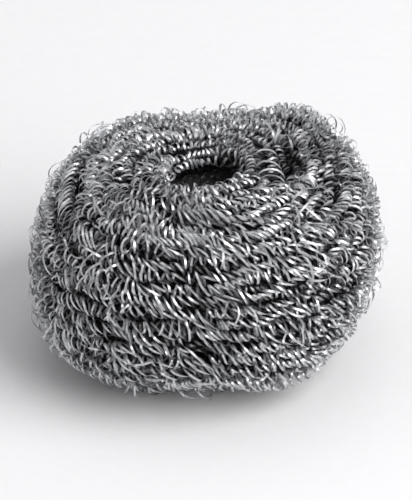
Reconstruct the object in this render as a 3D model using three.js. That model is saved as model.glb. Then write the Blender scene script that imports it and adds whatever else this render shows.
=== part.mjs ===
// Stainless steel scouring ball: one long flat wire, curled into fine coils and wound round and round into
// a flattened ball. The winding starts in a small hollow in the middle of the top, goes outwards and down in
// soft rolls, and closes on a flat patch underneath.
//
// The wire itself is far finer than this solid, whose surface is the envelope of its curls: row beside row of
// curl tips, the soft rolls that the rows gather into, and the pleats, pockets and lumps where the winding was
// folded in. Units are millimetres, +Z is up, and the origin is the middle of the base.

import * as THREE from "three";

// The ball
const BALL_DIAMETER = 80;
const BALL_HEIGHT = 49.4;
const BASE_RADIUS = 15; // flat patch that the ball has settled on
const SQUARENESS = 2.7; // 2 would make the side an ellipse, more makes it boxier
const LOPSIDE = 0.9; // how far the outline swings in and out of a true circle
const CORNER_SWELL = 1.9; // how much fuller it is halfway between the axes, which makes it a little square
const SLUMP = 4.6; // how far the girth hangs down at the -X side, and is pushed up at the +X side

// The hollow in the top, a long oval that is fuller at its +X end
const HOLLOW_LENGTH = 17; // at the mouth
const HOLLOW_WIDTH = 8.6; // at the mouth
const HOLLOW_DEPTH = 17;
const HOLLOW_TURN = 24; // degrees from the X axis to the hollow's long way
const HOLLOW_X = -1.5; // middle of the hollow, from the middle of the ball
const HOLLOW_Y = -5;
const HOLLOW_REACH = 32; // how far out from the lip the winding shares in the hollow's offset
const HOLLOW_TAPER = 0.6; // size of the hollow at its floor, as a share of its mouth
const HOLLOW_FULLNESS = 0.5; // how much wider than the middle its +X end is
const HOLLOW_RINGS = 4; // rings of points down its wall
const LIP_RADIUS = 2.2; // round edge between the hollow and the top

// The winding. A row of curls has one ring of points on its crests and one in the groove beside it.
const ROW_PITCH = 4.4; // from one row of curls to the next, along the surface
const ROW_DEPTH = 1.9; // groove between two rows
const ROW_WANDER = 1.5; // how far a row strays from a level ring
const TIPS_AROUND = 62; // curl tips that stand proud in each row, with as many gaps between them
const TIP_HEIGHT = 2; // a tip above the gap beside it, at the girth, where the tips are farthest apart
const TIP_SLANT = 0.005; // radians that the curls lean for each millimetre out from the hollow
const ROLL_PITCH = 10.6; // from one turn of the spiral rolls to the next
const ROLL_HEIGHT = 1.1;
const EDGE_FADE = 3; // distance from the lip, and from the base, over which the relief grows

// Folds of the winding. angle is round the ball from +X, out is the distance from the lip along the surface,
// along and across are half sizes, turn leans the long way out of the ring, and height is negative for a dent.
const FOLDS = [
  { name: "groove behind the hollow", angle: 116, out: 3.6, along: 7, across: 2.8, turn: -6, height: -3 },
  { name: "pleat", angle: 12, out: 12, along: 8, across: 2.8, turn: 4, height: -3.6 },
  { name: "swell inside the pleat", angle: 8, out: 6.5, along: 5, across: 3, turn: 0, height: 0.8 },
  { name: "left arc groove", angle: 190, out: 7.4, along: 5, across: 2.6, turn: 60, height: -2 },
  { name: "left shoulder bundle", angle: 196, out: 26, along: 16, across: 3.4, turn: 3, height: 1.6 },
  { name: "groove inside the bundle", angle: 195, out: 21.6, along: 13, across: 2.6, turn: 4, height: -2.6 },
  { name: "front ring groove", angle: 259, out: 14, along: 8, across: 2.6, turn: 10, height: -2.2 },
  { name: "front girdle groove", angle: 267, out: 30.2, along: 14, across: 2.6, turn: 2, height: -1.8 },
  { name: "front dent", angle: 266, out: 39, along: 5, across: 3, turn: 0, height: -1.8 },
  { name: "front pocket", angle: 269, out: 48.4, along: 4, across: 3.2, turn: 0, height: -3.4 },
  { name: "right pocket", angle: 350, out: 20.4, along: 4, across: 3.4, turn: 30, height: -3.2 },
  { name: "right dent", angle: 312, out: 41.4, along: 6, across: 3, turn: -20, height: -1.8 },
  { name: "lower right pocket", angle: 316, out: 57, along: 4.6, across: 3.6, turn: 0, height: -2.8 },
  { name: "lower right swell", angle: 304, out: 62, along: 14, across: 9, turn: 0, height: 2.6 },
  { name: "back right lump", angle: 50, out: 30, along: 7, across: 5.6, turn: 0, height: 3.4 },
  { name: "back lump", angle: 118, out: 32, along: 8, across: 5, turn: 0, height: 1.2 },
  { name: "back groove", angle: 84, out: 21, along: 9, across: 3, turn: 14, height: -2.6 },
  { name: "back pocket", angle: 140, out: 53, along: 5, across: 4, turn: 20, height: -3 },
];

const ballRadius = BALL_DIAMETER / 2;
const hollowRadius = (HOLLOW_LENGTH + HOLLOW_WIDTH) / 4;
const lipStart = hollowRadius + LIP_RADIUS;
const segmentsAround = 2 * TIPS_AROUND;

// The side is a superellipse in its own angle, which is 0 at the girth and a right angle at the top.
const sideRadius = (angle) => ballRadius * Math.pow(Math.cos(angle), 2 / SQUARENESS);
const sideRise = (angle) => Math.sign(angle) * Math.pow(Math.abs(Math.sin(angle)), 2 / SQUARENESS);
const sideAngle = (r) => Math.acos(Math.pow(r / ballRadius, SQUARENESS / 2));

// The flat patch cuts the underside off, so the upper half is a little taller than half the ball.
const upperHeight = BALL_HEIGHT / (1 + sideRise(sideAngle(BASE_RADIUS)));
const girthHeight = BALL_HEIGHT - upperHeight;
const lipTop = girthHeight + upperHeight * sideRise(sideAngle(lipStart));

// The ball's outline from the edge of the flat patch up to the lip.
function sidePath() {
  const path = new THREE.Path();
  const lowest = -sideAngle(BASE_RADIUS);
  const highest = sideAngle(lipStart);
  const fineness = 160;
  path.moveTo(BASE_RADIUS, 0);
  for (let i = 1; i <= fineness; i++) {
    const angle = THREE.MathUtils.lerp(lowest, highest, i / fineness);
    path.lineTo(sideRadius(angle), girthHeight + upperHeight * sideRise(angle));
  }
  return path;
}

// The outline from the lip down to the floor of the hollow.
function hollowPath() {
  const path = new THREE.Path();
  path.moveTo(lipStart, lipTop);
  path.quadraticCurveTo(hollowRadius, lipTop, hollowRadius, lipTop - LIP_RADIUS);
  path.lineTo(hollowRadius * HOLLOW_TAPER, BALL_HEIGHT - HOLLOW_DEPTH);
  return path;
}

const side = sidePath();
const hollow = hollowPath();
const sideLength = side.getLength();
const rowCount = Math.round(sideLength / ROW_PITCH);
const sideRings = 2 * rowCount;
const ringCount = 1 + (sideRings + 1) + HOLLOW_RINGS + 1;

// The spiral of rolls: round tops with a groove between one turn and the next.
function rollRelief(angle, out) {
  const turns = out / ROLL_PITCH + angle / (2 * Math.PI);
  const stray = 0.1 * Math.sin(3 * angle + out * 0.11) + 0.07 * Math.sin(5 * angle - out * 0.07);
  return ROLL_HEIGHT * (Math.abs(Math.sin(Math.PI * (turns + stray))) - 1);
}

function foldRelief(angle, out, r) {
  let height = 0;
  for (const fold of FOLDS) {
    const away = angle - THREE.MathUtils.degToRad(fold.angle);
    const round = Math.atan2(Math.sin(away), Math.cos(away)) * r;
    const turn = THREE.MathUtils.degToRad(fold.turn);
    const lengthwise = (round * Math.cos(turn) + (out - fold.out) * Math.sin(turn)) / fold.along;
    const crosswise = ((out - fold.out) * Math.cos(turn) - round * Math.sin(turn)) / fold.across;
    height += fold.height * Math.exp(-lengthwise * lengthwise - crosswise * crosswise);
  }
  return height;
}

// Crests on every odd ring, where tips take turns with gaps, and the groove between rows on every even one.
// Where the tips stand closer together, the gaps between them are shallower.
function tipRelief(segment, ring, r) {
  if (ring % 2 === 0) return -ROW_DEPTH;
  const row = (ring - 1) / 2;
  return (segment + row) % 2 === 0 ? 0 : (-TIP_HEIGHT * r) / ballRadius;
}

// A point on the side: ring 0 is the edge of the flat patch and the last one is the lip.
function sidePoint(segment, ring) {
  const around = (2 * Math.PI * segment) / segmentsAround;
  const level = sideLength * (1 - ring / sideRings);
  const fade = Math.min(1, level / EDGE_FADE, (sideLength - level) / EDGE_FADE);
  const stray = 0.6 * Math.sin(3 * around + 1.3) + 0.4 * Math.sin(7 * around + level * 0.1);
  const out = level + ROW_WANDER * stray * fade;
  const angle = around + TIP_SLANT * level;
  const share = 1 - out / sideLength;
  const point = side.getPointAt(share);
  const tangent = side.getTangentAt(share);
  const corner = CORNER_SWELL * Math.sin(2 * angle) ** 2;
  const lopside = LOPSIDE * (0.5 * Math.sin(2 * angle + 0.7) + 0.3 * Math.sin(3 * angle + 2.1)) + corner;
  const relief =
    tipRelief(segment % segmentsAround, ring, point.x) +
    rollRelief(angle, out) +
    foldRelief(angle, out, point.x) +
    (lopside * point.x) / ballRadius;
  const r = point.x + tangent.y * relief * fade;
  const z = Math.max(0, point.y - tangent.x * relief * fade);
  const inner = THREE.MathUtils.smoothstep(1 - level / HOLLOW_REACH, 0, 1);
  return [r * Math.cos(angle) + HOLLOW_X * inner, r * Math.sin(angle) + HOLLOW_Y * inner, z];
}

// A point on the wall of the hollow, whose oval fades into the circle at the outer edge of the lip.
function hollowPoint(segment, ring) {
  const angle = (2 * Math.PI * segment) / segmentsAround;
  const point = hollow.getPointAt(ring / HOLLOW_RINGS);
  const oval = THREE.MathUtils.clamp((lipStart - point.x) / LIP_RADIUS, 0, 1);
  const stretch = THREE.MathUtils.lerp(1, HOLLOW_LENGTH / 2 / hollowRadius, oval);
  const squash = THREE.MathUtils.lerp(1, HOLLOW_WIDTH / 2 / hollowRadius, oval);
  const turn = THREE.MathUtils.degToRad(HOLLOW_TURN);
  const fullness = 1 + HOLLOW_FULLNESS * oval * Math.cos(angle - turn);
  const lengthwise = point.x * stretch * Math.cos(angle - turn);
  const widthwise = point.x * squash * fullness * Math.sin(angle - turn);
  const x = HOLLOW_X + lengthwise * Math.cos(turn) - widthwise * Math.sin(turn);
  const y = HOLLOW_Y + lengthwise * Math.sin(turn) + widthwise * Math.cos(turn);
  return [x, y, point.y];
}

// Where a point of the ball is, from the middle of the base up the side and down into the hollow.
function ballPoint(segment, ring) {
  if (ring === 0) return [0, 0, 0];
  if (ring === ringCount - 1) return [HOLLOW_X, HOLLOW_Y, BALL_HEIGHT - HOLLOW_DEPTH];
  if (ring - 1 <= sideRings) return sidePoint(segment, ring - 1);
  return hollowPoint(segment, ring - 1 - sideRings);
}

// The winding has slumped to one side. The base and the top stay at their heights.
function slumped([x, y, z]) {
  return [x, y, z + SLUMP * (x / ballRadius) * Math.sin((Math.PI * z) / BALL_HEIGHT)];
}

// A lathe turning gives the rings of points, and each point is then put in its place on the winding.
function wireBallGeometry() {
  const rings = Array.from({ length: ringCount }, (_, ring) => {
    const [x, y, z] = ballPoint(0, ring);
    return new THREE.Vector2(Math.hypot(x, y), z);
  });
  const turned = new THREE.LatheGeometry(rings, segmentsAround);
  const position = turned.getAttribute("position");
  for (let i = 0; i < position.count; i++) {
    const [x, y, z] = slumped(ballPoint(Math.floor(i / ringCount), i % ringCount));
    position.setXYZ(i, x, y, z);
  }
  centreOnBase(turned);
  turned.computeVertexNormals();
  return turned;
}

// Puts the middle of the ball's plan over the origin, and its base at height 0.
function centreOnBase(geometry) {
  geometry.computeBoundingBox();
  const { min, max } = geometry.boundingBox;
  geometry.translate(-(min.x + max.x) / 2, -(min.y + max.y) / 2, -min.z);
}

const steelWire = new THREE.MeshStandardMaterial({ color: 0x8b8c90, roughness: 0.38, metalness: 0.95 });

const wireBall = new THREE.Mesh(wireBallGeometry(), steelWire);
wireBall.name = "wire_ball";

const scouringBall = new THREE.Group();
scouringBall.add(wireBall);

export default scouringBall;
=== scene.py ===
# %% [markdown]
# # A scouring ball of curled steel wire
#
# The real thing is one flat ribbon of stainless steel, half a millimetre wide. It is curled like a shaving
# and wound, row beside row, into a flattened ball with a small hollow in the top. Nothing holds it but the
# way the curls catch in each other.
#
# The frame gives the ball's outer shape as one solid. That solid says how big the ball is and where its
# rolls, pleats and pockets are. Here it is replaced by the wire itself, which is laid over the solid's
# surface.

# %% The frame
from math import cos, pi, radians, sin

import bmesh
import bpy
import numpy as np
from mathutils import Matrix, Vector
from mathutils.bvhtree import BVHTree


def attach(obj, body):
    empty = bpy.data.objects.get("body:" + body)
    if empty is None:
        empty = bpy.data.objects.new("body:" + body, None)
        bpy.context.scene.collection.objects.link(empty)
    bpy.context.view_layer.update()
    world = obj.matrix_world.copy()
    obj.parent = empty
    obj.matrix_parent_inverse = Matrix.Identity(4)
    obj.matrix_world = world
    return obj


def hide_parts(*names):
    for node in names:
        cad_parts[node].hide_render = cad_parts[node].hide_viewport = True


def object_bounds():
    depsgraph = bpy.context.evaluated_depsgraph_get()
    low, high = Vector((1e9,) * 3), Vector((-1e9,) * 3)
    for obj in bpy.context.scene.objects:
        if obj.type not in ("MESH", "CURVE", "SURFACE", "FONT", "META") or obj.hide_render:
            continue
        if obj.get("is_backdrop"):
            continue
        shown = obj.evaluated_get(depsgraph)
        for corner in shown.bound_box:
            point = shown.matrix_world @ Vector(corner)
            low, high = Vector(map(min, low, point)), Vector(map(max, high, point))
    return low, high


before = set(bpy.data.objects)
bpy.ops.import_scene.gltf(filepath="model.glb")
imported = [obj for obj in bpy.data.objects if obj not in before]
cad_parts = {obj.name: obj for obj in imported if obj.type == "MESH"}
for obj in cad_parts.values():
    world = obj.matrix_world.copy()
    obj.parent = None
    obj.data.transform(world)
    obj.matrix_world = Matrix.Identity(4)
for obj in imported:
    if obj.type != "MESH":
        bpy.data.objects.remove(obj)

MM = 0.001
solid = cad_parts["wire_ball"]
cad_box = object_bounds()
print("CAD box in mm", [[round(value / MM, 1) for value in corner] for corner in cad_box])

# %% [markdown]
# ## The skin that the wire is laid on
#
# The solid's surface is knobbly, because each knob stands for a bunch of curl tips. The wire needs the
# smooth surface below the knobs, so a copy of the solid is merged and its vertices are smoothed. The folds
# and rolls are bigger than the smoothing reaches, so they stay.

# %% A smoothed copy of the solid
SMOOTHINGS = 3


def smooth(shape, times):
    axes = {"use_axis_x": True, "use_axis_y": True, "use_axis_z": True}
    for _ in range(times):
        bmesh.ops.smooth_vert(shape, verts=shape.verts, factor=0.5, **axes)


def smoothed_solid():
    body = bmesh.new()
    body.from_mesh(solid.data)
    bmesh.ops.remove_doubles(body, verts=body.verts, dist=0.001 * MM)
    smooth(body, SMOOTHINGS)
    body.normal_update()
    return body


body = smoothed_solid()
surface = BVHTree.FromBMesh(body)
print("smoothed solid:", len(body.faces), "triangles")

# %% [markdown]
# ## A map of the skin
#
# The wire runs round and round the ball, so a place on the skin is best given as turns round the axis and a
# share of the way out, from the wall of the hollow to the middle of the base. Rays find the skin: outwards
# inside the hollow, down onto the top, inwards to the side, and up onto the base. Each line of hits is then
# spaced evenly along its length, so that a share is the same distance everywhere on it.

# %% Meridians
MERIDIANS = 240
STATIONS = 260
PROBE_STEP = 0.8 * MM
TOP_REACH = 24 * MM  # from the axis to where the probes change from downwards to inwards
BASE_REACH = 16 * MM
LINING_DEPTH = 10 * MM  # from the top of the ball down to the first row of wire in the hollow
RIM_MARGIN = 1.5 * MM  # from the top of the ball down to the last probe inside the hollow
MOUTH_REACH = 12 * MM  # from the hollow's axis, beyond which a hit isn't on its wall
SKIN_RISE = 0.8 * MM  # from the smoothed knobs up to their tips
SKIN_SMOOTHINGS = 3
FACING_SMOOTHINGS = 4
ball_height = cad_box[1][2]
middle = Vector((0, 0, ball_height / 2))
hollow_axis = Vector((-1.5, -5, 0)) * MM


def hit(origin, direction):
    return surface.ray_cast(Vector(origin), Vector(direction).normalized())[0]


def meridian(angle):
    away = Vector((cos(angle), sin(angle), 0))
    up = Vector((0, 0, 1))
    found = []
    for height in np.arange(ball_height - LINING_DEPTH, ball_height - RIM_MARGIN, PROBE_STEP):
        wall = hit(hollow_axis + up * height, away)
        if wall and (wall - hollow_axis).xy.length < MOUTH_REACH:
            found.append(wall)
    rim = (found[-1] - hollow_axis).xy.length
    for reach in np.arange(rim + PROBE_STEP / 2, TOP_REACH, PROBE_STEP):
        axis = hollow_axis * (TOP_REACH - reach) / (TOP_REACH - rim)
        found.append(hit(axis + away * reach + up * 2 * ball_height, -up))
    first = (found[-1] - middle).angle(up)
    last = (away * BASE_REACH - middle).angle(up)
    for tilt in np.arange(first, last, PROBE_STEP / (ball_height / 2)):
        direction = away * sin(tilt) + up * cos(tilt)
        found.append(hit(middle + direction * 3 * ball_height, -direction))
    for reach in np.arange(BASE_REACH, 0, -PROBE_STEP):
        found.append(hit(away * reach - up * ball_height, up))
    return np.array([point for point in found if point is not None])


def evenly_spaced(line, count):
    lengths = np.concatenate([[0], np.cumsum(np.linalg.norm(np.diff(line, axis=0), axis=1))])
    wanted = np.linspace(0, lengths[-1], count)
    return np.stack([np.interp(wanted, lengths, line[:, axis]) for axis in range(3)], axis=1), lengths[-1]


def smooth_map(skin, times):
    for _ in range(times):
        skin = (skin * 2 + np.roll(skin, 1, axis=0) + np.roll(skin, -1, axis=0)) / 4
        skin[:, 1:-1] = (skin[:, 1:-1] * 2 + skin[:, 2:] + skin[:, :-2]) / 4
    return skin


def unit(vectors):
    return vectors / np.maximum(np.linalg.norm(vectors, axis=-1, keepdims=True), 1e-12)


lines = [evenly_spaced(meridian(2 * pi * i / MERIDIANS), STATIONS) for i in range(MERIDIANS)]
meridian_length = float(np.mean([length for _, length in lines]))
skin = smooth_map(np.stack([line for line, _ in lines]), SKIN_SMOOTHINGS)
skin_out = np.gradient(skin, axis=1)
skin_round = np.roll(skin, -1, axis=0) - np.roll(skin, 1, axis=0)
skin_facing = smooth_map(unit(np.cross(skin_out, skin_round)), FACING_SMOOTHINGS)
skin = skin + skin_facing * SKIN_RISE
print("meridian from hollow to base:", round(meridian_length / MM, 1), "mm")

# %% Reading the map, and chance waves along a wire


def on_skin(turns, share):
    """Points on the skin and the outward directions there."""
    column = np.mod(turns, 1) * MERIDIANS
    row = np.clip(share, 0, 1) * (STATIONS - 1)
    left = np.floor(column).astype(int) % MERIDIANS
    right = (left + 1) % MERIDIANS
    upper = np.minimum(np.floor(row).astype(int), STATIONS - 2)
    sideways = (column - np.floor(column))[:, None]
    downwards = (row - upper)[:, None]

    def blend(chart):
        above = chart[left, upper] * (1 - sideways) + chart[right, upper] * sideways
        below = chart[left, upper + 1] * (1 - sideways) + chart[right, upper + 1] * sideways
        return above * (1 - downwards) + below * downwards

    return blend(skin), unit(blend(skin_facing))


def wander(along, wavelength, seed):
    """Smooth chance values between -1 and 1, the same on every run."""
    place = (along - along.min()) / wavelength
    dice = np.random.default_rng(seed)
    values = dice.uniform(-1, 1, int(place.max()) + 3)
    before = np.floor(place).astype(int)
    part = place - before
    part = part * part * (3 - 2 * part)
    return values[before] * (1 - part) + values[before + 1] * part


def wavering(along, waves, seed):
    """Chance waves added up, each of them given as its height and its length in mm."""
    return sum(height * wander(along, length * MM, seed + n) for n, (height, length) in enumerate(waves))


# %% [markdown]
# ## The winding's route
#
# The wire starts on the wall of the hollow and goes round the ball in one spiral, so a single line of turns
# and shares is the whole route. The rows aren't quite level, and they lie closer together near the hollow.

# %% Bands of the winding
# Where each band ends, as a share of the way out, and in mm its row gap, curl pitch and curl radius
BANDS = {
    "hollow_and_crown": (0.27, 2.6, 1.5, 1.15),
    "shoulder": (0.42, 3.2, 1.8, 1.25),
    "girth": (0.58, 3.6, 1.95, 1.4),
    "lower_side": (0.76, 3.5, 1.95, 1.4),
    "underside": (1.01, 3.6, 2.1, 1.5),
}
print("bands:", ", ".join(BANDS))

# %% [markdown]
# Where rows part, or the winding was folded in, the wire lies deeper. A smooth long dent at each such place
# gives the dark grooves and pockets of the photograph, which the solid has too, but less deep.

# %% Partings between the rows
# Degrees round from +X, share of the way out, half length and half width in mm, lean in degrees, depth in mm
PARTINGS = [
    (116, 0.1, 6, 2.2, -6, 3.2),  # behind the hollow
    (10, 0.205, 7.5, 1.6, 6, 2.4),  # right of the pleat
    (0, 0.113, 3.2, 1.0, 0, 2.4),  # left of the pleat
    (-2, 0.155, 8.5, 3.2, 0, 3.6),  # under the pleat
    (198, 0.145, 4.5, 1.4, 70, 1.6),  # left of the hollow
    (196, 0.280, 12, 1.7, 3, 1.6),  # inside the left shoulder
    (196, 0.312, 15, 2.6, 3, 2.2),  # under the left shoulder's bundle
    (216, 0.274, 3, 2.0, 0, 1.2),  # at the shoulder's lower end
    (258, 0.210, 8, 1.5, 12, 1.2),  # in front of the hollow
    (267, 0.340, 12, 1.5, 2, 1.0),  # front girdle
    (266, 0.413, 4.5, 1.8, 0, 1.4),  # below the front girdle
    (268, 0.514, 3.6, 2.2, 0, 2.4),  # front pocket
    (350, 0.282, 2.8, 2.2, 30, 2.2),  # right pocket
    (314, 0.444, 5, 1.8, -20, 1.2),  # below the right pocket
    (315, 0.571, 3.6, 2.6, 0, 1.8),  # lower right
    (84, 0.290, 9, 1.8, 14, 1.2),  # back
    (140, 0.560, 5, 2.6, 20, 1.6),  # lower back
]
print("partings:", len(PARTINGS))


def parting_depth(turns, share, points):
    depth = np.zeros(len(turns))
    reach = np.linalg.norm(points[:, :2], axis=1)
    for degrees, middle_share, length, width, lean, most in PARTINGS:
        swing = np.mod(turns - degrees / 360 + 0.5, 1) - 0.5
        round_ball = swing * 2 * pi * reach
        down_ball = (share - middle_share) * meridian_length
        lengthwise = (round_ball * cos(radians(lean)) + down_ball * sin(radians(lean))) / (length * MM)
        crosswise = (down_ball * cos(radians(lean)) - round_ball * sin(radians(lean))) / (width * MM)
        depth += most * MM * np.exp(-(lengthwise**2) - crosswise**2)
    return depth


# %% The spiral route
ROUTE_STEP = 0.4 * MM
FIRST_SHARE = 0.05
ROW_WAVES = [(0.2, 16), (0.26, 5)]  # how far a row strays, as shares of the row gap, and over how many mm
LEVEL = (0.12, 0.26)  # shares of the way out between which the rows grow unruly
LEVELNESS = (0.4, 1)  # what is left of the straying before and after that
INNERMOST_REACH = 2.5 * MM  # from the axis, inside which the route's steps turn no faster


def row_share(share):
    """The gap between two rows, as a share of the way out."""
    limits, gaps = zip(*[(limit, gap) for limit, gap, _, _ in BANDS.values()])
    return np.interp(share, limits, gaps) * MM / meridian_length


def spiral_route(widening, rows_late, seed):
    """Turns and shares along a spiral, stepped evenly along its length, that starts some rows late."""
    turns, shares = [0.0], [FIRST_SHARE + rows_late * row_share(FIRST_SHARE)]
    while shares[-1] < 1 - row_share(1) / 4:
        reach = np.linalg.norm(on_skin(np.array(turns[-1:]), np.array(shares[-1:]))[0][0, :2])
        step = ROUTE_STEP / (2 * pi * max(reach, INNERMOST_REACH))
        turns.append(turns[-1] + step)
        shares.append(shares[-1] + step * widening * row_share(shares[-1]))
    along = np.arange(len(turns)) * ROUTE_STEP
    shares = np.array(shares)
    stray = wavering(along, ROW_WAVES, seed)
    return np.array(turns), shares + stray * row_share(shares) * np.interp(shares, LEVEL, LEVELNESS)


route = spiral_route(1, 0, 11)
print("winding:", round(len(route[0]) * ROUTE_STEP, 2), "m of route in", round(route[0][-1]), "rows")

# %% [markdown]
# ## The mouth of the hollow
#
# From above, the mouth is shaped like a comma: a full end on the right and a thin tail to the left. Wire
# that the route would lay across it is pressed out to its edge, where it crowds, as it does round a finger
# hole.

# %% The mouth
# Places along the middle of the mouth, from the tip of its tail: x, y and half width in mm
MOUTH = [(-9.6, -9.2, 0.4), (-6.5, -8.4, 1.0), (-2.8, -7.2, 2.0), (0.8, -5.6, 3.6), (3.0, -3.4, 4.0)]
MOUTH_BOTTOM = 33 * MM
print("mouth:", 2 * MOUTH[-1][2], "mm wide at its full end")


def pressed_out(centres):
    """The same points, with those over the mouth moved sideways to its edge."""
    plan = centres[:, :2]
    least = np.full(len(plan), np.inf)
    moved = plan.copy()
    for (x0, y0, width0), (x1, y1, width1) in zip(MOUTH, MOUTH[1:]):
        start = np.array((x0, y0)) * MM
        stretch = np.array((x1 - x0, y1 - y0)) * MM
        part = np.clip((plan - start) @ stretch / (stretch @ stretch), 0, 1)
        nearest = start + part[:, None] * stretch
        width = (width0 + (width1 - width0) * part) * MM
        gap = np.linalg.norm(plan - nearest, axis=1)
        pressed = nearest + (plan - nearest) / gap[:, None] * ((gap**3 + width**3) ** (1 / 3))[:, None]
        closer = gap - width < least
        least = np.where(closer, gap - width, least)
        moved = np.where(closer[:, None], pressed, moved)
    high = centres[:, 2:] > MOUTH_BOTTOM
    return np.concatenate([np.where(high, moved, plan), centres[:, 2:]], axis=1)


# %% [markdown]
# ## Curling the wire
#
# A curl is a helix round the route. What makes it look like real wire is that nothing about it is even: the
# curls bunch up and draw out, grow and shrink, lean over and twist, each at its own pace. They also slant
# more on the side of the ball where the winding was pulled along. The helix is worked out as points, with
# the direction in which the ribbon is wide at each of them, and how light its painted shade leaves it: 1 at
# the skin and 0 where the light no longer reaches.

# %% How the curls vary
FLATNESS = 0.88  # the curls are pressed flat against the ball, so they are wider than deep
LEAN = -0.15  # how far the usual curl slants along its row, as a share of its radius
LEAN_SWING = -0.5  # how much more it slants on one side of the ball, and less on the other
MOST_LEANING = 312  # degrees round from +X to where it slants most
UPRIGHT = (0.08, 0.22)  # shares of the way out between which the slant grows to its full amount
LEAST_SLANT = 0.2  # the share of the slant that is left before the first of them
LEAN_SHARE = 0.7  # how far a slanting curl is narrowed, so that its wire isn't longer than an upright one's
COARSENING = 0.12  # how much larger the curls are on one side of the ball, and smaller on the other
COARSEST = 265  # degrees round from +X to where they are largest
CLOSEST = 0.7  # the least share of its usual pitch that crowding leaves a curl
PAINTED_SHADE_DEPTH = 4.2 * MM  # below the skin, where the painted shade on the wire is at its darkest
# How unevenly the wire is curled, as waves with their height and their length in mm
SIZE_WAVES = [(0.2, 5), (0.36, 1.9)]  # heights as shares of the usual size
CROWDING_WAVES = [(0.32, 9), (0.34, 2.7)]  # as shares of the pitch
LEAN_WAVES = [(0.5, 14), (1.0, 2.2)]  # as shares of the radius
ROLL_WAVES = [(0.9, 2.6)]  # radians round the row
TWIST_WAVES = [(0.55, 3.3), (0.35, 0.9)]  # radians round the wire itself
RISE_WAVES = [(0.7 * MM, 2.4)]  # up from the skin and down


def curl_traits(turns, share, along, seed, loose, lean):
    """The curls' size, crowding, lean, roll, twist and rise at each place along a wire's route."""
    coarseness = 1 + COARSENING * np.cos(2 * pi * (turns - COARSEST / 360))
    size = coarseness * (1 + loose * wavering(along, SIZE_WAVES, seed))
    crowding = np.maximum(1 + wavering(along, CROWDING_WAVES, seed + 2), CLOSEST) * coarseness
    if lean is None:
        lean = LEAN + LEAN_SWING * np.cos(2 * pi * (turns - MOST_LEANING / 360))
        lean *= np.interp(share, UPRIGHT, (LEAST_SLANT, 1))
    lean = lean + loose * wavering(along, LEAN_WAVES, seed + 4)
    roll = loose * wavering(along, ROLL_WAVES, seed + 6)
    twist = wavering(along, TWIST_WAVES, seed + 7)
    rise = loose * wavering(along, RISE_WAVES, seed + 9)
    return size, crowding, lean, roll, twist, rise


# %% The helix round a route


def curled(turns, share, radius, pitch, steps, sink, seed, loose=1.0, lean=None, parted=1.0):
    """Centres, widthwise directions and painted depth shade of a wire that is curled round a route below the
    skin.

    Without a lean of its own, the wire takes the ball's slant at each place. Loose says how uneven its
    curls are, and parted how far it follows the partings down.
    """
    points, facing = on_skin(turns, share)
    along = np.concatenate([[0], np.cumsum(np.linalg.norm(np.diff(points, axis=0), axis=1))])
    heading = unit(np.gradient(points, axis=0))
    across = np.cross(facing, heading)
    size, crowding, lean, roll, twist, rise = curl_traits(turns, share, along, seed, loose, lean)
    depth = sink + parted * parting_depth(turns, share, points)
    phase = np.cumsum(2 * pi * np.gradient(along) / (pitch * crowding))
    wanted = np.arange(phase[0], phase[-1], 2 * pi / steps)

    def at(values):
        if values.ndim == 1:
            return np.interp(wanted, phase, values)[:, None]
        return np.stack([np.interp(wanted, phase, values[:, axis]) for axis in range(3)], axis=1)

    up, side, on = unit(at(facing)), unit(at(across)), unit(at(heading))
    turn = at(roll) - wanted[:, None]
    spoke = up * np.cos(turn) + side * np.sin(turn)
    oval = up * np.cos(turn) * FLATNESS + side * np.sin(turn) / FLATNESS
    leaning = (oval + on * at(lean) * np.sin(turn)) / np.sqrt(1 + LEAN_SHARE * at(lean) ** 2)
    centres = at(points) - up * (at(depth) - at(rise)) + leaning * at(size) * radius
    centres = pressed_out(centres)
    course = unit(np.gradient(centres, axis=0))
    flat = unit(np.cross(course, spoke))
    widthwise = flat * np.cos(at(twist)) + np.cross(course, flat) * np.sin(at(twist))
    depth_now = np.sum((at(points) - centres) * up, axis=1)
    # Painted shade: 1 at the skin and down to 0 deeper in, so that the colour darkens where the curls shade
    # each other
    painted_depth_light = np.clip(1 - depth_now / PAINTED_SHADE_DEPTH, 0, 1)
    return centres, widthwise, painted_depth_light


# %% [markdown]
# ## Drawing the ribbon
#
# The ribbon starts as a chain of edges through the points. Each vertex carries its widthwise direction in a
# layer of its own, so when the chain is extruded the new vertices know which way to go, and one move makes
# the flat strip. Solidify gives it its thickness. This is much quicker than sweeping a section along a
# curve, and the flat of the ribbon lies exactly as it should. A second layer carries the painted shade for
# the depth below the skin to the finish.

# %% From points to ribbon
RIBBON_WIDTH = 0.52 * MM
RIBBON_THICKNESS = 0.11 * MM


def ribbon(wires):
    strip = bmesh.new()
    sideways = strip.verts.layers.float_vector.new("sideways")
    painted_depth_shade = strip.verts.layers.float.new("painted_depth_shade")
    for centres, widthwise, painted_depth_light in wires:
        before = None
        widthwise = widthwise * RIBBON_WIDTH
        edges = (centres - widthwise / 2).tolist()
        for place, direction, light in zip(edges, widthwise.tolist(), painted_depth_light.tolist()):
            vert = strip.verts.new(place)
            vert[sideways] = direction
            vert[painted_depth_shade] = light
            if before:
                strip.edges.new((before, vert))
            before = vert
    drawn = bmesh.ops.extrude_edge_only(strip, edges=strip.edges[:])
    for vert in drawn["geom"]:
        if isinstance(vert, bmesh.types.BMVert):
            vert.co += vert[sideways]
    bmesh.ops.solidify(strip, geom=strip.faces[:], thickness=RIBBON_THICKNESS)
    bmesh.ops.recalc_face_normals(strip, faces=strip.faces[:])
    for vert in strip.verts:
        vert.co.z = max(vert.co.z, 0)
    return strip


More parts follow.
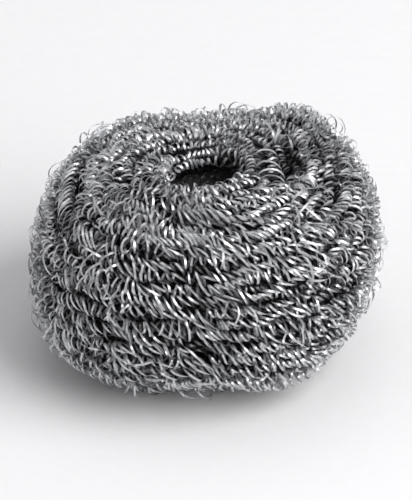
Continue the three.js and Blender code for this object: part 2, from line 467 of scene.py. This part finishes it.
def piece(name, shape, finish, sharp=50):
    mesh = bpy.data.meshes.new(name)
    shape.to_mesh(mesh)
    shape.free()
    mesh.shade_smooth()
    mesh.set_sharp_from_angle(angle=radians(sharp))
    made = bpy.data.objects.new(name, mesh)
    bpy.context.scene.collection.objects.link(made)
    mesh.materials.append(finish)
    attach(made, "root")
    mesh.calc_loop_triangles()
    print(name + ":", len(mesh.loop_triangles), "triangles")
    return made


# %% [markdown]
# ## The steel
#
# Drawn steel ribbon is bright on its flats, with fine streaks in it, and no two curls catch the light
# alike. A noise a little finer than a curl makes some stretches of wire shinier than others, which is a real
# change of roughness, and brighter or darker, which is painted glints. A much finer one gives the streaks.
# Between the curls the light bounces from wire to wire and loses some strength each time, so painted shade
# makes the colour darker with the depth below the skin, which the ribbon carries in a layer of its own. The
# windings below the outer one are of the same steel, painted a darker shade for the same reason.

# %% Shader maths as Python expressions


class Value:
    """A number in a shader that varies over the surface."""

    def __init__(self, finish, socket):
        self.finish = finish
        self.socket = socket

    def _math(self, operation, first, second):
        node = self.finish.node("ShaderNodeMath", {"operation": operation}, {0: first, 1: second})
        return Value(self.finish, node.outputs[0])

    def __add__(self, other):
        return self._math("ADD", self, other)

    __radd__ = __add__

    def __sub__(self, other):
        return self._math("SUBTRACT", self, other)

    def __rsub__(self, other):
        return self._math("SUBTRACT", other, self)

    def __mul__(self, other):
        return self._math("MULTIPLY", self, other)

    __rmul__ = __mul__


class Finish:
    """A material, and one method that adds any node to it."""

    def __init__(self, name):
        self.material = bpy.data.materials.new(name)
        self.material.use_nodes = True
        self.tree = self.material.node_tree
        self.shader = self.tree.nodes["Principled BSDF"]
        self.place = self.node("ShaderNodeTexCoord", {}, {}).outputs["Object"]

    def node(self, kind, settings, inputs):
        made = self.tree.nodes.new(kind)
        for name, setting in settings.items():
            setattr(made, name, setting)
        for name, value in inputs.items():
            self.set(made.inputs[name], value)
        return made

    def set(self, socket, value):
        if isinstance(value, Value):
            value = value.socket
        if isinstance(value, bpy.types.NodeSocket):
            self.tree.links.new(value, socket)
        else:
            socket.default_value = value

    def noise(self, grain, detail=2.0):
        """Noise whose patches are about as large as grain, in metres."""
        inputs = {"Vector": self.place, "Scale": 1 / grain, "Detail": detail}
        return Value(self, self.node("ShaderNodeTexNoise", {}, inputs).outputs["Fac"])

    def mix(self, factor, first, second):
        """A colour between two others."""
        inputs = {0: factor, 6: (*first, 1), 7: (*second, 1)}
        return self.node("ShaderNodeMix", {"data_type": "RGBA"}, inputs).outputs[2]

    def between(self, value, low, high):
        """Stretches a value so that low becomes 0 and high becomes 1."""
        inputs = {"Value": value, "From Min": low, "From Max": high}
        return Value(self, self.node("ShaderNodeMapRange", {"clamp": True}, inputs).outputs[0])

    def bump(self, height, distance, strength=1.0):
        inputs = {"Height": height, "Distance": distance, "Strength": strength}
        self.set(self.shader.inputs["Normal"], self.node("ShaderNodeBump", {}, inputs).outputs[0])


# %% Bright wire, and the same wire painted darker as shade under it


def wire_steel(name, dark, bright, dullest):
    finish = Finish(name)
    # Painted glints: this noise makes stretches of wire brighter and darker in colour; its change of
    # roughness is real
    painted_glints_and_shine = finish.between(finish.noise(1.7 * MM), 0.34, 0.62)
    streak = finish.noise(0.12 * MM, 3.0)
    painted_depth_shade = finish.node("ShaderNodeAttribute", {"attribute_name": "painted_depth_shade"}, {})
    # Painted shade from the depth below the skin, times the painted glints and the real streaks, sets the
    # colour
    painted_light_and_streaks = finish.between(painted_depth_shade.outputs["Fac"], 0.2, 0.85) * (0.52 + 0.56 * painted_glints_and_shine + 0.16 * streak)
    finish.set(finish.shader.inputs["Base Color"], finish.mix(painted_light_and_streaks, dark, bright))
    finish.set(finish.shader.inputs["Roughness"], dullest - 0.16 * painted_glints_and_shine + 0.1 * (streak - 0.5))
    finish.set(finish.shader.inputs["Metallic"], 1.0)
    finish.bump(streak, 0.01 * MM, 0.6)
    return finish.material


bright_wire = wire_steel("bright_wire", (0.11, 0.111, 0.115), (0.95, 0.955, 0.97), 0.47)
# The same steel for the windings below, in darker colours as painted shade
painted_shade_wire = wire_steel("painted_shade_wire", (0.07, 0.071, 0.075), (0.7, 0.702, 0.71), 0.48)
print("finishes:", bright_wire.name, "and", painted_shade_wire.name)

# %% [markdown]
# ## The body of the ball
#
# Deep inside the curls are too close to see one by one. The smoothed copy of the solid, drawn in by the
# depth of the wire that lies over it, closes the view there. It is painted nearly black, as the shade deep
# inside the ball, with a tangle of lighter strands as its pattern.

# %% The inner body, painted dark as shade
BODY_DEPTH = 7.5 * MM
THROAT_DEPTH = 2 * MM  # the same at the bottom of the hollow, where no winding lies over it
HOLLOW_REACH = 10 * MM  # from the hollow's axis to outside its mouth
BODY_SMOOTHINGS = 4


def painted_shade_tangle_finish():
    finish = Finish("painted_shade_tangle")
    warp = finish.noise(6 * MM, 1.0)
    strands = finish.noise(0.9 * MM, 1.0) + 0.6 * warp
    shine = finish.between(strands, 0.86, 1.05)
    # Painted shade: the wire inside the ball is coloured nearly black, with lighter strands in it
    colour = finish.mix(shine, (0.03, 0.03, 0.032), (0.16, 0.161, 0.166))
    finish.set(finish.shader.inputs["Base Color"], colour)
    finish.set(finish.shader.inputs["Roughness"], 0.62 - 0.2 * shine)
    finish.set(finish.shader.inputs["Metallic"], 0.85)
    finish.bump(strands, 0.5 * MM)
    return finish.material


def depth_inside(place):
    below_lining = place.z < ball_height - LINING_DEPTH
    in_hollow = (place - hollow_axis).xy.length < HOLLOW_REACH
    return THROAT_DEPTH if below_lining and in_hollow else BODY_DEPTH


for vert in body.verts:
    vert.co -= vert.normal * depth_inside(vert.co)
smooth(body, BODY_SMOOTHINGS)
inner_body = piece("inner_body", body, painted_shade_tangle_finish(), sharp=180)
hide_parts("wire_ball")

# %% [markdown]
# ## Three layers of winding
#
# The outer winding is the one that is seen curl by curl. Two more lie below it, part of a row off, and fill
# the gaps with wire painted darker as shade. Each is cut into bands, so that no piece is too heavy to
# handle.

# %% The outer winding
CURL_STEPS = 18


def bands(route):
    """The stretch of a route in each band, with the last point shared with the next."""
    turns, share = route
    start = 0
    for name, (limit, _, pitch, radius) in BANDS.items():
        end = int(np.searchsorted(np.maximum.accumulate(share), limit))
        yield name, turns[start : end + 1], share[start : end + 1], pitch * MM, radius * MM
        start = end


for number, (name, turns, share, pitch, radius) in enumerate(bands(route)):
    wire = curled(turns, share, radius, pitch, CURL_STEPS, radius * FLATNESS, 100 * number)
    piece("winding_" + name, ribbon([wire]), bright_wire)

# %% The windings below it
UNDER_STEPS = 10
UNDER_PITCH = 0.9  # as a share of the outer winding's
# How much deeper each one lies, in mm, how much wider its rows are spaced, and how many rows late it starts
LAYERS = {"under": (1.5, 1.0, 0.5), "deep": (3.2, 1.1, 0.2)}

for layer, (name, (deeper, widening, rows_late)) in enumerate(LAYERS.items(), start=1):
    lower_route = spiral_route(widening, rows_late, 53 * layer)
    for number, (band, turns, share, pitch, radius) in enumerate(bands(lower_route)):
        sink = radius + deeper * MM
        seed = 1000 * layer + 100 * number
        wire = curled(turns, share, radius, UNDER_PITCH * pitch, UNDER_STEPS, sink, seed)
        piece(name + "_" + band, ribbon([wire]), painted_shade_wire)

# %% [markdown]
# ## Loose curls and stray wires
#
# Here and there a few curls cross the rows, some have sprung out of them as loose loops, and a stretch of
# wire has lost its curl and lies over the others. They break the outline and the rows, which is what keeps
# the ball from looking knitted by machine. Only their kind and number matter, so chance says where they
# are.

# %% Short stretches, laid by chance
SHORT_STEPS = 16
SHORT_REACH = 6 * MM  # from the axis, inside which a short route turns no faster


def short_route(turn, share, direction, length):
    """A nearly straight route on the skin from a place, with direction in radians out of the row."""
    reach = np.linalg.norm(on_skin(np.array([turn]), np.array([share]))[0][0, :2])
    steps = np.arange(0, length, ROUTE_STEP)
    turns = turn + steps * cos(direction) / (2 * pi * max(reach, SHORT_REACH))
    return turns, share + steps * sin(direction) / meridian_length


def scattered(count, seed, shares, swing, lengths, radii, pitches, rises):
    """Short curled stretches, all lengths in mm, each drawn by chance from the ranges given."""
    dice = np.random.default_rng(seed)
    for number in range(count):
        turn, share = dice.uniform(0, 1), dice.uniform(*shares)
        length, radius, pitch, rise = (dice.uniform(*each) * MM for each in (lengths, radii, pitches, rises))
        turns, stretch = short_route(turn, share, dice.uniform(-swing, swing), length)
        yield curled(turns, stretch, radius, pitch, SHORT_STEPS, radius - rise, 1000 * seed + 20 * number)


crossing = scattered(50, 29, (0.16, 0.92), 0.8, (4, 9), (1.3, 1.8), (2.0, 2.8), (-0.5, 0.4))
piece("crossing_curls", ribbon(crossing), bright_wire)
loose = scattered(120, 41, (0.2, 0.8), 0.9, (4, 10), (1.6, 2.6), (2.4, 3.8), (0.8, 2.3))
piece("loose_curls", ribbon(loose), bright_wire)
stray = scattered(12, 37, (0.15, 0.8), 1.0, (7, 20), (0.45, 0.55), (6, 8), (-0.1, 0.3))
piece("stray_wires", ribbon(stray), bright_wire)

# %% [markdown]
# A few others are seen so clearly that each is laid where it is in the photograph: the stacked arcs of the
# pleat to the right of the hollow, the lips of the hollow's tail, the bundle along the left shoulder, the
# lump at the back, and the long wires over the front.

# %% Coils and wires that stand out
# Places along each as degrees round from +X and share of the way out, then in mm the curl radius, pitch and
# rise over the skin, and last the lean
COILS = {
    "pleat": ([(-30, 0.17), (0, 0.152), (26, 0.162)], 2.8, 3.0, 0.7, 0),
    "tail_front": ([(186, 0.08), (204, 0.084), (226, 0.082)], 1.2, 1.5, 2.4, 0),
    "tail_back": ([(176, 0.08), (160, 0.082), (146, 0.08)], 1.2, 1.5, 1.8, 0),
    "left_shoulder": ([(160, 0.318), (190, 0.312), (226, 0.3)], 2.3, 1.9, 0.9, -1.1),
    "back_right_lump": ([(36, 0.335), (48, 0.35), (62, 0.345)], 2.8, 2.2, 1.2, 0),
}
LONG_WIRES = {
    "front_left": ([(230, 0.517), (240, 0.533), (254, 0.541), (262, 0.544)], 0.5, 11, 1.3, 0),
    "front_middle": ([(261, 0.47), (268, 0.544), (278, 0.61)], 0.5, 12, 1.5, 0),
    "front_right": ([(304, 0.436), (311, 0.475), (317, 0.52)], 0.4, 10, 1.2, 0),
    "far_right": ([(329, 0.545), (335, 0.51), (341, 0.48)], 0.4, 9, 1.2, 0),
}
LAID_STEPS = 80  # points on the route of each
EVEN = 0.2  # the share of the usual unevenness that these have


def laid(places, radius, pitch, rise, lean, seed):
    """A curled wire, quite even, whose route goes smoothly through the places."""
    knots = np.linspace(0, 1, len(places))
    curve = np.polyfit(knots, places, len(places) - 1)
    along = np.linspace(0, 1, LAID_STEPS)
    degrees, shares = (np.polyval(course, along) for course in curve.T)
    sink = (radius - rise) * MM
    manner = {"loose": EVEN, "lean": lean, "parted": 0}
    return curled(degrees / 360, shares, radius * MM, pitch * MM, CURL_STEPS, sink, seed, **manner)


for title, group in {"coils": COILS, "long_wires": LONG_WIRES}.items():
    wires = [laid(*values, 8000 + 20 * number) for number, values in enumerate(group.values())]
    piece(title, ribbon(wires), bright_wire)

# %% [markdown]
# ## Camera, floor and light
#
# The photograph looks down on the ball from about 32 degrees through a long lens. The light is a studio's:
# a big soft lamp in front on the right, a weaker one above and behind, and pale walls and floor that light
# the rest.

# %% Camera
TILT = radians(32)
CAMERA_DISTANCE = 1.5
VIEW_WIDTH = 92 * MM

camera_data = bpy.data.cameras.new("camera")
camera = bpy.data.objects.new("camera", camera_data)
bpy.context.scene.collection.objects.link(camera)
aim = Vector((0, 0, ball_height * 0.47))
camera.location = aim + CAMERA_DISTANCE * Vector((0, -cos(TILT), sin(TILT)))
camera.rotation_euler = (pi / 2 - TILT, 0, 0)
camera_data.sensor_fit = "HORIZONTAL"
camera_data.lens = camera_data.sensor_width * CAMERA_DISTANCE / VIEW_WIDTH
camera_data.clip_end = 50
bpy.context.scene.camera = camera
print("lens:", round(camera_data.lens), "mm")

# %% Floor
floor_shape = bmesh.new()
bmesh.ops.create_grid(floor_shape, x_segments=1, y_segments=1, size=3)
floor_mesh = bpy.data.meshes.new("floor")
floor_shape.to_mesh(floor_mesh)
floor_shape.free()
floor = bpy.data.objects.new("floor", floor_mesh)
bpy.context.scene.collection.objects.link(floor)
paper = Finish("paper")
paper.set(
    paper.shader.inputs["Base Color"],
    paper.mix(paper.noise(3 * MM, 4.0), (0.69, 0.69, 0.695), (0.73, 0.73, 0.735)),
)
paper.set(paper.shader.inputs["Roughness"], 0.9)
floor_mesh.materials.append(paper.material)
floor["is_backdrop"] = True

# %% Lamps


def lamp(name, place, size, power):
    data = bpy.data.lights.new(name, "AREA")
    data.shape = "DISK"
    data.size = size
    data.energy = power
    made = bpy.data.objects.new(name, data)
    bpy.context.scene.collection.objects.link(made)
    made.location = place
    made.rotation_euler = (aim - Vector(place)).to_track_quat("-Z", "Y").to_euler()
    print(name, "lamp:", power, "W")


lamp("key", (1.05, -0.55, 0.95), 1.7, 34)
lamp("overhead", (-0.1, 0.5, 1.5), 1.2, 3)

world = bpy.data.worlds.new("studio")
world.use_nodes = True
world.node_tree.nodes["Background"].inputs["Color"].default_value = (0.55, 0.55, 0.56, 1)
world.node_tree.nodes["Background"].inputs["Strength"].default_value = 1.0
bpy.context.scene.world = world
bpy.context.scene.view_settings.view_transform = "Standard"

# %% Size against the frame
made_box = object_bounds()
boxes = {"cad": [list(corner) for corner in cad_box], "made": [list(corner) for corner in made_box]}
for name, corners in boxes.items():
    print(name, [[round(value / MM, 2) for value in corner] for corner in corners])
